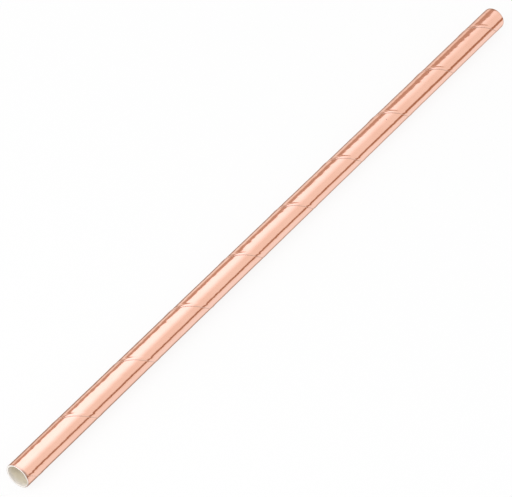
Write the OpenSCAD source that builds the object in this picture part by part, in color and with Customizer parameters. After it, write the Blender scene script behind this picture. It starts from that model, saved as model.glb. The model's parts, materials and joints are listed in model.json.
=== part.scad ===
// Foil-wrapped drinking straw: a white paper tube with a rose-gold foil-faced strip wound round it.
// Millimetres. The straw lies along X on the plane z = 0, under the middle of its length.

/* [Tube] */
// Length of the straw, cut square at both ends
straw_length = 190; // [120:1:260]
// Diameter of the bore that the drink goes through
bore_d = 5.2; // [3:0.1:12]
// Wall of the white paper tube, its glued plies together
tube_wall = 0.31; // [0.16:0.01:0.8]

/* [Foil strip] */
// Thickness of the strip, its paper and its foil face together
strip_t = 0.08; // [0.05:0.01:0.3]
// Way along the straw that one turn of the strip covers
strip_lead = 20.4; // [14:0.1:40]
// Width of the lap, measured along the straw, where each turn lies on the turn before
lap_width = 0.5; // [0.4:0.05:4]
// Way along the straw over which the strip comes down off the lap
lap_slope = 0.5; // [0.1:0.05:2]
// Place of the lap's free edge along the straw, on the side that faces +Y
lap_start = 12.6; // [0:0.1:40]
// Film of glue under the strip
glue_film = 0.01; // [0.005:0.005:0.05]
// Flats that one turn of the strip is made of
flats_per_turn = 48; // [24:4:60]

/* [Hidden] */
tube_color = "#f3efe8";
foil_color = "#e8a88c";

bore_r = bore_d / 2;
tube_r = bore_r + tube_wall;
cut_clearance = 1;

// Radii to the middle of a flat: the strip on the tube, and its lap on the turn before
body_in = tube_r + glue_film;
body_out = body_in + strip_t;
lap_in = body_out + glue_film;
lap_out = lap_in + strip_t;

// A flat's ends lie further out than its middle
flat_angle = 360 / flats_per_turn;
corner_ratio = 1 / cos(flat_angle / 2);

// Along the straw: the step from one corner to the next, and the places across the strip where it bends.
// Past the edge of the turn beneath, the strip stays up for one step before it slopes down.
corner_step = strip_lead / flats_per_turn;
strip_cover = strip_lead + lap_width;
slope_top = lap_width + corner_step;
slope_foot = slope_top + lap_slope;
bends = [0, slope_top, slope_foot, strip_cover];

// Corners are numbered along the winding, from before one cut end to past the other
first_corner = floor((-strip_cover - lap_start) / corner_step - 0.5);
last_corner = ceil((straw_length - lap_start) / corner_step - 0.5);
corners = [first_corner : last_corner];
points_per_corner = 2 * len(bends);

// Free edge of the strip at a corner; half a step turns a flat, and not a corner, to the ground
function corner_angle(i) = (i + 0.5) * flat_angle;
function edge_place(i) = lap_start + (i + 0.5) * corner_step;

// Place along the straw of a point u across the strip, cut off square at both ends of the straw
function cut_place(i, u) = max(0, min(straw_length, edge_place(i) + u));

// The strip rides on the lap from its free edge to the slope, and on the tube from the slope on
function inner_radius(u) = lookup(u, [[0, lap_in], [slope_top, lap_in], [slope_foot, body_in]]);

function strip_point(i, u, depth) =
    let (place = cut_place(i, u))
    let (radius = (inner_radius(place - edge_place(i)) + depth) * corner_ratio)
    [radius * cos(corner_angle(i)), radius * sin(corner_angle(i)), place];

// Outer face from the free edge to the hidden edge, then inner face back again
function strip_section(i) = concat(
    [for (u = bends) strip_point(i, u, strip_t)],
    [for (k = [len(bends) - 1 : -1 : 0]) strip_point(i, bends[k], 0)]
);

// Two triangles for each side of the section between one corner and the next
function side_faces(corner, side) =
    let (a = corner * points_per_corner + side)
    let (b = corner * points_per_corner + (side + 1) % points_per_corner)
    [[a, b + points_per_corner, a + points_per_corner], [a, b, b + points_per_corner]];

module paper_tube() {
    color(tube_color)
        lay_down()
            difference() {
                cylinder(h = straw_length, r = tube_r, $fn = 96);
                translate([0, 0, -cut_clearance])
                    cylinder(h = straw_length + 2 * cut_clearance, r = bore_r, $fn = 96);
            }
}

module foil_wrap() {
    corner_count = last_corner - first_corner + 1;
    color(foil_color)
        lay_down()
            polyhedron(
                points = [for (i = corners) each strip_section(i)],
                faces = [
                    for (corner = [0 : corner_count - 2], side = [0 : points_per_corner - 1])
                        each side_faces(corner, side)
                ],
                convexity = 12
            );
}

// From upright on its near end to lying along X, resting on the laps
module lay_down() {
    translate([-straw_length / 2, 0, lap_out])
        rotate([90, 0, 90])
            children();
}

paper_tube();
foil_wrap();
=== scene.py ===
import json

import bpy
import numpy as np
from mathutils import Matrix, Vector


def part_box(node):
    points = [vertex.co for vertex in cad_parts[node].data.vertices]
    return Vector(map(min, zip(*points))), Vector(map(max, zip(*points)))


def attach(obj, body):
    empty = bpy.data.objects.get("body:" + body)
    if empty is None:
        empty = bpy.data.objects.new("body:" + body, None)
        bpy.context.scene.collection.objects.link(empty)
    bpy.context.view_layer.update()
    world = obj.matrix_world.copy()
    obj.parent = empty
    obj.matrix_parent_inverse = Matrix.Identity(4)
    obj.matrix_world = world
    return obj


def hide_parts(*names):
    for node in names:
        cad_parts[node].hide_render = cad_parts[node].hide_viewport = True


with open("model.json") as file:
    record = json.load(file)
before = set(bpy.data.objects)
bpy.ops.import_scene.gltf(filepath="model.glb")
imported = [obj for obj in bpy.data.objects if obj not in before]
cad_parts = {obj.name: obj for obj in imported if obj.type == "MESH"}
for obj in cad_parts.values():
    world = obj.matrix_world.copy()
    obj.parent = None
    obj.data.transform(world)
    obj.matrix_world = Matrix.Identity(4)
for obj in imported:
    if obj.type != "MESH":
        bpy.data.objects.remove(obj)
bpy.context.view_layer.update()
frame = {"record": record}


# The paper tube is the body of the straw: plies of white paper, wound on a mandrel and glued.
# The winding machine's knife cuts it off square, which leaves a slightly ragged rim at each end.
# It carries the foil strip on its outside, and its bore is bare paper.
mm = 0.001
tube_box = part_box("paper_tube")
straw_start = tube_box[0][0] / mm
straw_length = (tube_box[1][0] - tube_box[0][0]) / mm
tube_r = (tube_box[1][2] - tube_box[0][2]) / 2 / mm
axis_z = (tube_box[1][2] + tube_box[0][2]) / 2 / mm
bore_r = frame["record"]["mounts"][0]["dims"]["r_mm"]
rim_round = 0.06
rim_ragged = 0.035
ragged_reach = 0.25
waves_apart = 40.0
bore_swell = 0.012
bore_daylight = 1.4
tube_columns = 180
# The angle round the straw, on its front a little below the axis, where the painted shade at the near rim is
# darkest.
low_shade = np.radians(193)


def closed_grid(rows, columns, columns_close=True):
    """Quads between neighbouring points of a grid numbered row by row, whose last row joins its first."""
    quads_across = columns if columns_close else columns - 1
    row, column = np.meshgrid(np.arange(rows), np.arange(quads_across), indexing="ij")
    next_row = (row + 1) % rows
    next_column = (column + 1) % columns
    corners = [row * columns + column, row * columns + next_column]
    corners += [next_row * columns + next_column, next_row * columns + column]
    return np.stack(corners, axis=-1).reshape(-1, 4)


def new_piece(name, points, faces, marks):
    """A smooth mesh object of these points, in millimetres about the straw's axis, and these faces.

    Each mark is an amount at every point, which the piece's material reads by the mark's name.
    """
    places = points * mm + np.array([straw_start, 0, axis_z]) * mm
    mesh = bpy.data.meshes.new(name)
    mesh.from_pydata(places.tolist(), [], faces)
    mesh.polygons.foreach_set("use_smooth", np.ones(len(mesh.polygons), dtype=bool))
    for mark, amount in marks.items():
        mesh.attributes.new(mark, "FLOAT", "POINT").data.foreach_set("value", amount.ravel())
    mesh.update()
    piece = bpy.data.objects.new(name, mesh)
    bpy.context.scene.collection.objects.link(piece)
    return piece


def ripples(along, across, shortest, longest, count, seed):
    """A sum of plane waves in random directions, with a mean square of 1.

    The logarithms of their lengths are spread evenly between those of the shortest and the longest.
    """
    random = np.random.default_rng(seed)
    total = np.zeros(np.broadcast(along, across).shape)
    for _ in range(count):
        length = np.exp(random.uniform(np.log(shortest), np.log(longest)))
        turn, phase = random.uniform(0, 2 * np.pi, 2)
        total += np.cos(2 * np.pi * (along * np.cos(turn) + across * np.sin(turn)) / length + phase)
    return total * np.sqrt(2 / count)


def smooth(value, low, high):
    """0 at low and before it, 1 at high and past it, with zero slope at both."""
    share = np.clip((value - low) / (high - low), 0, 1)
    return share * share * (3 - 2 * share)


def lobe(angle, middle, width):
    """1 at the middle angle, falling off on both sides as a bell of this width in radians."""
    return np.exp((np.cos(angle - middle) - 1) / width ** 2)


def tube_surface():
    """Revolves a closed profile of the wall about X.

    The profile runs along the outside, round the far rim, back along the bore and round the near rim.
    Each rim is a half superellipse of the wall's thickness. Near a rim, the points shift along X by a sum of
    waves round the straw, and the bore's wall swells by waves of a few millimetres.
    """
    near_rim = np.linspace(rim_round, 1, 6)
    near = np.concatenate([near_rim, np.linspace(1.5, 14, 26), np.linspace(20, straw_length / 2, 14)])
    line = np.concatenate([near, straw_length - near[-2::-1]])
    wall = tube_r - bore_r
    bend = np.linspace(np.pi / 2, -np.pi / 2, 13)[1:-1]
    rim_out = np.abs(np.cos(bend)) ** 0.5 * rim_round
    rim_side = np.sign(np.sin(bend)) * np.abs(np.sin(bend)) ** 0.5
    rim_r = bore_r + wall / 2 + rim_side * wall / 2
    place = np.concatenate([line, straw_length - rim_round + rim_out, line[::-1], rim_round - rim_out])
    radius = np.concatenate([np.full(len(line), tube_r), rim_r, np.full(len(line), bore_r), rim_r[::-1]])
    place, radius = place[:, None], radius[:, None]
    angle = np.linspace(0, 2 * np.pi, tube_columns, endpoint=False)[None, :]
    inside = np.clip((tube_r - radius) / wall, 0, 1)
    to_rim = np.minimum(place, straw_length - place)
    which_end = np.where(place < straw_length / 2, 0, waves_apart)
    ragged = ripples(angle * tube_r, which_end, shortest=0.7, longest=4, count=24, seed=3)
    shift = rim_ragged * np.clip(0.5 + 0.3 * ragged, 0, 1) * np.exp(-to_rim / ragged_reach)
    swelling = ripples(place, angle * tube_r, shortest=1.5, longest=6, count=30, seed=4)
    swell = bore_swell * swelling * inside ** 4
    x = place + np.where(place < straw_length / 2, shift, -shift)
    r = radius + swell
    points = np.stack(np.broadcast_arrays(x, r * np.cos(angle), r * np.sin(angle)), axis=-1)
    rows, columns = points.shape[:2]
    # Painted shade: the outer part of the near rim's face goes brown on its low front side.
    painted_shade = lobe(angle, low_shade, 0.40) * smooth(inside, 0.95, 0.3)
    marks = {
        # Painted shade in the bore: the paper goes darker and warmer with depth from either rim.
        "bore_depth": np.broadcast_to(inside * smooth(to_rim, 0, bore_daylight), (rows, columns)),
        "rim_stain": painted_shade * (1 - smooth(place, 0.05, 0.30)),
    }
    return points.reshape(-1, 3), closed_grid(rows, columns).tolist(), marks


class Wire:
    """A socket of a material's node tree. An expression on it adds the Math nodes that work it out."""

    def __init__(self, tree, socket=None):
        self.tree = tree
        self.socket = socket

    def node(self, kind, settings=None, values=None, output=0):
        """Adds a node with these settings, sets or links its sockets, and gives one of its outputs."""
        made = self.tree.nodes.new(kind)
        for setting, value in (settings or {}).items():
            setattr(made, setting, value)
        for name, value in (values or {}).items():
            if isinstance(value, Wire):
                self.tree.links.new(value.socket, made.inputs[name])
            else:
                made.inputs[name].default_value = value
        return Wire(self.tree, made.outputs[output] if made.outputs else None)

    def math(self, operation, first, second):
        return self.node("ShaderNodeMath", {"operation": operation}, {0: first, 1: second})

    def __add__(self, other):
        return self.math("ADD", self, other)

    def __rsub__(self, other):
        return self.math("SUBTRACT", other, self)

    def __mul__(self, other):
        return self.math("MULTIPLY", self, other)

    __radd__ = __add__

    def between(self, low, high):
        """0 where the value is at low, 1 where it is at high, with a smooth step between."""
        values = {"Value": self, "From Min": low, "From Max": high}
        return self.node("ShaderNodeMapRange", {"interpolation_type": "SMOOTHSTEP"}, values)

    def noise(self, size, detail=2.0, roughness=0.5):
        """Noise in the piece's own space, whose patches are about this many millimetres across."""
        place = self.node("ShaderNodeTexCoord", output="Object")
        values = {"Vector": place, "Scale": 1 / (size * mm), "Detail": detail, "Roughness": roughness}
        return self.node("ShaderNodeTexNoise", values=values)

    def mix(self, first, second):
        """A colour that goes from the first to the second as this value goes from 0 to 1."""
        made = self.tree.nodes.new("ShaderNodeMix")
        made.data_type = "RGBA"
        for socket, value in ((made.inputs[0], self), (made.inputs[6], first), (made.inputs[7], second)):
            if isinstance(value, Wire):
                self.tree.links.new(value.socket, socket)
            else:
                socket.default_value = (*value, 1) if isinstance(value, tuple) else value
        return Wire(self.tree, made.outputs[2])


def new_material(name):
    """An empty material, and the wire that its nodes are added through."""
    material = bpy.data.materials.new(name)
    material.use_nodes = True
    material.node_tree.nodes.clear()
    return material, Wire(material.node_tree)


def finish_material(start, shader):
    """Links the shader to the surface of the material."""
    start.node("ShaderNodeOutputMaterial", values={"Surface": shader})


paper_white = (0.885, 0.85, 0.81)
paper_shade = (0.80, 0.762, 0.72)
# The bore's painted shade: the darker, warmer tone that the paper takes deep in the bore.
bore_shade_tone = (0.82, 0.755, 0.62)
# Brown of the real specks on the foil, and of the painted shade at the rims.
stain_and_shade_brown = (0.30, 0.19, 0.14)

white_paper, start = new_material("white_paper")
fibres = start.noise(0.35, 4.0, 0.65)
clouds = start.noise(2.4, 2.0)
height = fibres * 0.7 + start.noise(0.12, 2.0) * 0.3
paper_bump = start.node("ShaderNodeBump", values={"Height": height, "Strength": 0.6, "Distance": 0.03 * mm})
mottled = (fibres * 0.6 + clouds * 0.4).between(0.3, 0.7).mix(paper_shade, paper_white)
# Deep in the bore the paper goes over to the tone of its painted shade.
bore_shading = start.node("ShaderNodeAttribute", {"attribute_name": "bore_depth"}, output="Fac")
# The near rim's painted shade turns the paper brown on its low front side.
painted_shade = start.node("ShaderNodeAttribute", {"attribute_name": "rim_stain"}, output="Fac")
paper = {
    "Base Color": (painted_shade * 0.9).mix(bore_shading.mix(mottled, bore_shade_tone), stain_and_shade_brown),
    "Roughness": 0.7 + fibres * 0.2,
    "Normal": paper_bump,
    "Specular IOR Level": 0.3,
}
finish_material(start, start.node("ShaderNodeBsdfPrincipled", values=paper))

paper_tube = new_piece("paper_tube_wound", *tube_surface())
paper_tube.data.materials.append(white_paper)
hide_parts("paper_tube")
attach(paper_tube, "root")


# The foil wrap is one long strip of paper with a metallic rose-gold face, glued round the tube as a
# right-hand screw. Each turn laps over the turn before: its near edge is the free one, which lies on top,
# and just past the lap the strip comes down a short slope onto the tube.
foil_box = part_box("foil_wrap")
lap_out = (foil_box[1][2] - foil_box[0][2]) / 2 / mm
glue_film = 0.01
strip_t = (lap_out - tube_r) / 2 - glue_film
strip_lead = 20.4
lap_start = 12.6
strip_wander = 0.72
wander_level = 0.4
lap_width = 0.84
lap_rise = (0.045, 0.088)
lap_grown = 0.7
edge_rise = (0.035, 0.070)
least_press = (0.75, 0.25)
pressed_side = (112, 140, 220, 320)
ridge_at = (0.1, 0.62)
slope_length = 0.72
sheet_apart = 0.003
ripple_room = 0.010
ripple_depth = 0.03
fine_ripple = 0.0055
fine_stretch = 0.45
long_ripple = 0.006
long_stretch = 0.7
calm_edge = (0.6, 2.4)
corner_drop = 0.008
corner_width = 0.02
body_in = tube_r + glue_film
columns_per_turn = 100
roll_over = 0.20
roll_drop = 0.06
step_apart = 0.0022
# Angles round the straw where the painted shade on the foil is darkest, at the near end and at the far end.
near_shade = np.radians(126)
far_shade = np.radians(62)


def strip_surface():
    """Carries the strip's cross-section along a helix.

    A column of points is the closed section at one angle: the outer face from the free edge to the hidden
    edge, then the inner face back. The rollers press the lap thin: its outer face rises from the free edge
    to a low ridge over the edge beneath, then slopes down onto the tube. The ridge grows higher over the
    first 0.7 of the length, and the free edge over all of it. Both are flatter along one side of the straw.
    The edge wanders from the true helix by half a sine over the straw's length. Ripples lift the outer face
    by at most 0.01 mm and lower it by at most 0.03 mm. Both ends are cut off square, and there the foil is
    rolled over by the knife in a quarter of an ellipse, and darkened by painted shade in places.
    """

    def edge_at(turn):
        """The free edge's distance from the near end, after this many turns."""
        place = lap_start + strip_lead * turn
        return place + strip_wander * (wander_level - np.sin(np.pi * np.clip(place / straw_length, 0, 1)))

    turn_start = -(strip_lead + lap_width + lap_start + strip_wander) / strip_lead
    turn_end = (straw_length - lap_start - wander_level * strip_wander) / strip_lead
    turn = np.arange(np.ceil(turn_start * columns_per_turn) + 2, np.floor(turn_end * columns_per_turn) - 1)
    turn = (turn / columns_per_turn)[None, :]
    angle = 2 * np.pi * turn
    edge_place = edge_at(turn)
    lead = edge_at(turn + 1) - edge_place

    def along(ends, place):
        """Goes from the first of two values at the near end to the second at the far end."""
        return ends[0] + (ends[1] - ends[0]) * np.clip(place / straw_length, 0, 1)

    # The same numbers of rows for each stretch of the section, set apart by the local widths
    foot = lap_width + slope_length
    edge = np.array([0.0, 0.004, 0.02, 0.05, 0.10, 0.16, 0.24, 0.34, 0.44, 0.54, 0.63])[:, None]
    slope = lap_width + slope_length * np.linspace(-0.2, 1.2, 13)[:, None]
    body = foot + 0.3 + (lead - foot - 0.5) * np.linspace(0, 1, 50)[:, None]
    hidden = lead + lap_width * np.array([-0.08, 0.08, 0.5, 0.94])[:, None]
    back = [hidden[::-1], body[[32, 16]], slope[::-2], edge[[7, 5, 0]]]
    front = [edge, slope, body, hidden]
    columns = turn.shape[1]
    outer = sum(len(stretch) for stretch in front)
    across = np.concatenate([stretch + np.zeros((1, columns)) for stretch in front + back])
    rows = len(across)

    # Points past a cut end are gathered just inside it, a little apart, in their order across the strip
    order = np.concatenate([np.arange(outer), np.linspace(outer - 1, 0, rows - outer)])[:, None]
    place = edge_place + across
    place = np.maximum(place, order * step_apart)
    place = np.minimum(place, straw_length - (outer - 1 - order) * step_apart)
    across = place - edge_place

    down = smooth(across, lap_width, foot)
    turned = np.degrees(angle) % 360
    flattened = smooth(turned, *pressed_side[:2]) * (1 - smooth(turned, *pressed_side[2:]))
    left = 1 - (1 - along(least_press, place)) * flattened
    ridge = along(lap_rise, place / lap_grown)
    rise = along(edge_rise, place) + (ridge - along(edge_rise, place)) * smooth(across, *ridge_at)
    step = rise * left * (1 - down)
    pressed_in = (strip_t + glue_film - ridge * left) / 2
    under_lap = smooth(across, lead - 0.02, lead + 0.04)
    in_lap = smooth(across, 0.04, 0.12) * (1 - down)
    body_out = body_in + strip_t - ripple_room
    inner_r = body_in + (strip_t - ripple_room + sheet_apart) * (1 - down) - pressed_in * in_lap
    to_edge = np.minimum(across, lead - across)
    calm = smooth(to_edge, *calm_edge)
    winding = angle * tube_r
    fine_waves = ripples(winding * fine_stretch, across, shortest=1.5, longest=4.5, count=60, seed=11)
    long_waves = ripples(winding * long_stretch, across, shortest=6, longest=14, count=12, seed=12)
    rippled = fine_ripple * calm * fine_waves + long_ripple * calm * long_waves
    rippled = np.clip(rippled, -ripple_depth, ripple_room)
    corner = corner_drop * np.clip(1 - np.maximum(across, 0) / corner_width, 0, 1) ** 2
    to_near, to_far = place, straw_length - place
    cut = np.clip(1 - np.minimum(to_near, to_far) / roll_over, 0, 1)
    rolled = roll_drop * (1 - np.sqrt(1 - cut * cut))
    outer_r = body_out + step + rippled - corner - rolled - pressed_in * under_lap
    top = (np.arange(rows) < outer)[:, None]
    radius = np.where(top, outer_r, inner_r)
    points = np.stack(np.broadcast_arrays(place, radius * np.cos(angle), radius * np.sin(angle)), axis=-1)
    faces = closed_grid(rows, columns, columns_close=False).tolist()

    # One face closes the section at either end of the helix
    first = np.arange(rows) * columns
    faces += [first.tolist(), (first[::-1] + columns - 1).tolist()]
    on_cut = np.maximum(smooth(cut, 0.8, 0.98), 1.0 - top)
    # The free edge's mark: the strip's cut paper edge, and painted shade on the foil just beside it.
    free_edge = np.where(top, 1 - smooth(across, 0.04, 0.21), 0) * (1 - smooth(cut, 0.0, 0.5))
    # Painted shade on the foil: by each rim at one angle round the straw, at half strength over the
    # rolled-over foil all round, and on the cut faces on the low front side.
    near_rim = (1 - smooth(to_near, 0.28, 0.52)) * lobe(angle, near_shade, 0.36)
    far_rim = (1 - smooth(to_far, 0.30, 0.75)) * lobe(angle, far_shade, 0.34)
    painted_shade = np.maximum(np.maximum(near_rim, far_rim), 0.5 * smooth(cut, 0.05, 0.5))
    on_foil = painted_shade * (1 - smooth(cut, 0.8, 0.98))
    marks = {
        "bare_paper": on_cut,
        "free_edge": free_edge,
        "knife_mark": np.maximum(on_foil, 0.6 * on_cut * lobe(angle, low_shade, 0.30)),
    }
    return points.reshape(-1, 3), faces, marks


foil_rose = (0.918, 0.54, 0.41)
foil_deep = (0.903, 0.519, 0.388)
foil_grazing = (1.0, 0.84, 0.74)
# The free edge's dark brown: the cut paper edge's colour, deepened by painted shade.
edge_paper_and_shade = (0.46, 0.265, 0.185)
specks = ((137.8, 106.8), (158.6, 82.6))
speck_r = 0.16

rose_foil, start = new_material("rose_gold_foil")
marks = {name: start.node("ShaderNodeAttribute", {"attribute_name": name}, output="Fac")
         for name in ("bare_paper", "free_edge", "knife_mark")}
grain = start.noise(0.7, 2.0, 0.5)
fine = start.noise(0.22, 1.0)
blotches = start.noise(6.0, 2.0)
relief = {"Height": grain + fine * 0.2, "Strength": 1.0, "Distance": 0.009 * mm}
foil_bump = start.node("ShaderNodeBump", values=relief)
foil_colour = blotches.between(0.35, 0.65).mix(foil_rose, foil_deep)
foil_r = body_in + strip_t
surface = start.node("ShaderNodeTexCoord", output="Object")
for place, degrees in specks:
    turn = np.radians(degrees)
    spot = np.array((straw_start + place, foil_r * np.cos(turn), foil_r * np.sin(turn) + axis_z)) * mm
    ends = {0: surface, 1: tuple(spot)}
    away = start.node("ShaderNodeVectorMath", {"operation": "DISTANCE"}, ends, output="Value")
    foil_colour = away.between(speck_r * mm, 0.5 * speck_r * mm).mix(foil_colour, stain_and_shade_brown)
# Along the free edge the foil gives way, as on the cut faces, to a matte colour: there the dark brown of the
# cut edge and its painted shade.
bare = marks["bare_paper"] + marks["free_edge"]
foil_colour = bare.mix(foil_colour, marks["free_edge"].mix(paper_white, edge_paper_and_shade))
foil = {
    # Painted shade at the rims turns the foil towards brown.
    "Base Color": (marks["knife_mark"] * 0.9).mix(foil_colour, stain_and_shade_brown),
    "Metallic": 1 - bare,
    "Roughness": 0.12 + grain * 0.03 + bare * 0.6,
    "Coat Weight": 0.3 - bare * 0.3,
    "Coat Roughness": 0.08,
    "Specular Tint": (*foil_grazing, 1),
    "Normal": foil_bump,
}
finish_material(start, start.node("ShaderNodeBsdfPrincipled", values=foil))

foil_wrap = new_piece("foil_wrap_wound", *strip_surface())
foil_wrap.data.materials.append(rose_foil)
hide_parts("foil_wrap")
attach(foil_wrap, "root")


# The table and the studio: a white table top, an even pale room, and a large soft lamp beyond the open end.
# The foil mirrors a tent of white cloth with a soft box and brown cards, and a sheet on the table with cards
# and a painted shadow of the straw.
# Only mirror reflections see the tent and the sheet on the table.
table_size = 3.0
table_white = (0.97, 0.97, 0.97)
table_glow = 0.88
lamp_size = 0.7
lamp_place = (-0.82, 0.12, 0.66)
lamp_power = 4.8
room_fill = 0.75
tent_r = 0.30
tent_white = (1.0, 1.0, 1.0)
box_light = (1.5, 1.62, 1.85)
card_brown = (0.58, 0.425, 0.35)
front_brown = (0.42, 0.245, 0.158)
table_brown = (0.50, 0.31, 0.205)
table_pale = (1.03, 1.12, 1.22)
# Near and far colours of the painted shadow under and beside the straw, which only mirror rays see.
under_shadow_grey = ((0.39, 0.325, 0.29), (0.64, 0.60, 0.59))
behind_grey = ((0.83, 0.80, 0.78), (0.80, 0.835, 0.87))
behind_lift = (0.18, 0.31, 0.39)
cards_up = 0.02


def stage_object(name, data):
    """An object of the stage, which is no part of the straw."""
    made = bpy.data.objects.new(name, data)
    bpy.context.scene.collection.objects.link(made)
    return made


def seen_white(start):
    """1 for rays that the camera sees, also in a mirror or through glass, and 0 for light on the object."""
    rays = ("Is Camera Ray", "Is Glossy Ray", "Is Transmission Ray")
    seen = [start.node("ShaderNodeLightPath", output=ray) for ray in rays]
    return start.math("MAXIMUM", start.math("MAXIMUM", seen[0], seen[1]), seen[2])


table_mesh = bpy.data.meshes.new("table")
half = table_size / 2
table_corners = [(-half, -half, 0), (half, -half, 0), (half, half, 0), (-half, half, 0)]
table_mesh.from_pydata(table_corners, [], [(0, 1, 2, 3)])
stage_object("table", table_mesh)
table_top, start = new_material("table_top")
shadowed = start.node("ShaderNodeBsdfDiffuse", values={"Color": (*table_white, 1)})
glowing = start.node("ShaderNodeEmission", values={"Color": (1, 1, 1, 1)})
mixed = {0: seen_white(start) * table_glow, 1: shadowed, 2: glowing}
finish_material(start, start.node("ShaderNodeMixShader", values=mixed))
table_mesh.materials.append(table_top)


def blended(first, second, amount):
    """A grid of colours that goes from the first to the second as the amount goes from 0 to 1."""
    return first + (second - first) * np.broadcast_to(amount, first.shape[:2])[..., None]


def tent_cloth():
    """A half cylinder about X, from the table in front over the straw to the table behind.

    Its light is a function of the place along X and the angle up from the table behind. Smooth steps cut the
    soft box and the cards out of the white cloth: the box fades with X, and the card behind rises and widens.
    """
    along = np.linspace(-1.2, 2.0, 321)[:, None]
    angle = np.linspace(0, 180, 361)[None, :]
    slide = np.clip((np.abs(along) - 0.063) / 0.323, -0.3, 1.8)
    card_top = 28 + 24.9 * slide + 13.2 * slide ** 2
    lowered = 12.5 * slide
    box = smooth(angle, card_top - 2, card_top + 6) * (1 - smooth(angle, 80 - lowered, 128 - lowered))
    box = box * (1 - smooth(np.abs(along), 0.077, 0.577))
    card = smooth(angle, 1 + 14 * slide, 7 + 16 * slide) * (1 - smooth(angle, card_top - 1, card_top + 1))
    front = smooth(angle, 162 + 2 * slide, 167 + 2 * slide)
    glow = np.array(tent_white) * np.ones(along.shape + (1,)) * np.ones(angle.shape + (1,))
    for amount, colour in ((box, box_light), (card, card_brown), (front, front_brown)):
        glow = blended(glow, np.array(colour), amount)
    turn = np.radians(angle)
    points = np.stack(np.broadcast_arrays(along, tent_r * np.cos(turn), tent_r * np.sin(turn)), axis=-1)
    rows, columns = points.shape[:2]
    faces = closed_grid(rows, columns, columns_close=False)[: (rows - 1) * (columns - 1)]
    return points.reshape(-1, 3), faces.tolist(), glow.reshape(-1, 3)


def table_cards():
    """A flat grid just above the table, close-meshed by the straw and wider away from it.

    Its light is made of smooth steps. Under and beside the straw it is dark, a painted shadow of the straw,
    and less so towards the far end.
    Behind the straw it is a little grey. Just in front of the straw lies a pale card, and further in front of
    the straw's far half lies a brown one.
    """
    along = np.linspace(-0.16, 0.50, 67)[:, None]
    aside = np.sinh(np.linspace(-6.4, 4.8, 160))[None, :]
    flat = np.ones(along.shape) * np.ones(aside.shape)
    to_far = (np.clip((along + 0.095) / 0.19, 0, 1) * flat)[..., None]
    behind = smooth(aside, 10, 14) * (1 - smooth(aside, 50, 100))
    # The painted shadow of the straw, under and beside it.
    under = smooth(aside, -5.4, -3.3) * (1 - smooth(aside, 12, 22))
    front = smooth(-aside, 21, 27) * smooth(along, 0.066, 0.078)
    pale = smooth(-aside, 3.8, 5.4) * (1 - smooth(-aside, 18, 24))
    pale = pale * (0.5 + 0.5 * smooth(along, -0.09, -0.02))
    paler = to_far * (1 - 0.6 * smooth(aside, 0, 4))[..., None]
    lifted = np.array(behind_lift) * np.sin(np.pi * to_far)
    grey_behind = np.array(behind_grey[0]) * (1 - to_far) + np.array(behind_grey[1]) * to_far + lifted
    grey_under = np.array(under_shadow_grey[0]) * (1 - paler) + np.array(under_shadow_grey[1]) * paler
    glow = np.ones(flat.shape + (3,))
    glow = blended(glow, grey_behind, behind)
    glow = blended(glow, grey_under, under)
    glow = blended(glow, np.array(table_pale), pale)
    glow = blended(glow, np.array(table_brown), front)
    points = np.stack(np.broadcast_arrays(along, aside * mm, cards_up * mm), axis=-1)
    rows, columns = points.shape[:2]
    faces = closed_grid(rows, columns, columns_close=False)[: (rows - 1) * (columns - 1)]
    return points.reshape(-1, 3), faces.tolist(), glow.reshape(-1, 3)


tent_cloth_material, start = new_material("tent_cloth")
cloth_glow = start.node("ShaderNodeAttribute", {"attribute_name": "glow"}, output="Color")
finish_material(start, start.node("ShaderNodeEmission", values={"Color": cloth_glow}))
for name, (points, faces, glow) in (("light_tent", tent_cloth()), ("table_cards", table_cards())):
    mesh = bpy.data.meshes.new(name)
    mesh.from_pydata(points.tolist(), [], faces)
    colours = np.concatenate([glow, np.ones((len(glow), 1))], axis=1)
    mesh.attributes.new("glow", "FLOAT_COLOR", "POINT").data.foreach_set("color", colours.ravel())
    mesh.materials.append(tent_cloth_material)
    mirrored = stage_object(name, mesh)
    mirrored.visible_camera = False
    mirrored.visible_diffuse = False
    mirrored.visible_shadow = False
    mirrored.visible_transmission = False
    mirrored.visible_volume_scatter = False

lamp_data = bpy.data.lights.new("soft_lamp", "AREA")
lamp_data.shape = "SQUARE"
lamp_data.size = lamp_size
lamp_data.energy = lamp_power
lamp = bpy.data.objects.new("soft_lamp", lamp_data)
bpy.context.scene.collection.objects.link(lamp)
lamp.location = lamp_place
lamp.rotation_euler = (-Vector(lamp.location)).to_track_quat("-Z", "Y").to_euler()
lamp.visible_camera = False
lamp.visible_glossy = False

room = bpy.data.worlds.new("pale_room")
bpy.context.scene.world = room
room.use_nodes = True
room.node_tree.nodes.clear()
start = Wire(room.node_tree)
strength = room_fill + seen_white(start) * (1 - room_fill)
background = start.node("ShaderNodeBackground", values={"Color": (1, 1, 1, 1), "Strength": strength})
start.node("ShaderNodeOutputWorld", values={"Surface": background})


# The camera stands beyond the straw's open end, above it and on its -Y side, and looks along the straw
# through a long lens. Its place, aim, roll and lens were fitted to the photograph.
camera_place = Vector((-320.70, -173.08, 395.50)) * mm
camera_aim = Vector((-10.09, -0.25, 3.09)) * mm
camera_roll = 9.20
lens = 161.73

camera_data = bpy.data.cameras.new("camera")
camera_data.sensor_width = 36
camera_data.lens = lens
camera_data.clip_start = 0.01
camera = bpy.data.objects.new("camera", camera_data)
bpy.context.scene.collection.objects.link(camera)
level = (camera_aim - camera_place).to_track_quat("-Z", "Y").to_matrix().to_4x4()
roll = Matrix.Rotation(np.radians(camera_roll), 4, "Z")
camera.matrix_world = Matrix.Translation(camera_place) @ level @ roll
bpy.context.scene.camera = camera

view = bpy.context.scene.view_settings
view.view_transform = "Standard"
